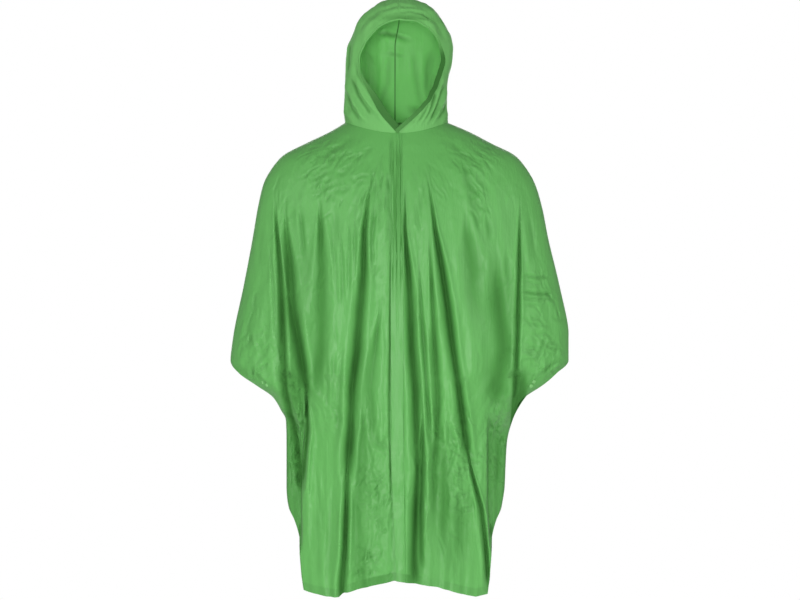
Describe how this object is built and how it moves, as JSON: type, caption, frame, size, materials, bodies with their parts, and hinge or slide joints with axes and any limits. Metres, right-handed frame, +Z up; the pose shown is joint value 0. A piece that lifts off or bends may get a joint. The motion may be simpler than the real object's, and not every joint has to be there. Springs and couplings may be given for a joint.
{
  "type": "rain poncho",
  "caption": "Hooded rain poncho of thin plastic film with a placket down the centre front and open batwing cuffs, hanging as worn with the hood up.",
  "frame": {"origin": "inside the neck, level with the neck seam at the shoulders, halfway between the front and back: where the wearer's shoulders hold the poncho", "axes": "+Z up along the length of the poncho, -Y towards what the wearer faces, +X towards the wearer's left sleeve"},
  "size_m": [0.723, 0.2906, 1.2596],
  "materials": {
    "film": "semi-gloss soft plastic film",
    "turned_film": "semi-gloss soft plastic film, two layers welded",
    "stud_plastic": "moulded plastic"
  },
  "bodies": {
    "root": {"front_right": "film", "front_left": "film", "back": "film", "hood_right": "film", "hood_left": "film", "hood_hem_right": "turned_film", "hood_hem_left": "turned_film", "placket": "film", "cuff_hem_front_right": "turned_film", "cuff_hem_back_right": "turned_film", "cuff_hem_front_left": "turned_film", "cuff_hem_back_left": "turned_film", "hem_front_right": "turned_film", "hem_front_left": "turned_film", "hem_back": "turned_film", "stud_right_1": "stud_plastic", "stud_right_2": "stud_plastic", "stud_left_1": "stud_plastic", "stud_left_2": "stud_plastic"}
  },
  "joints": []
}
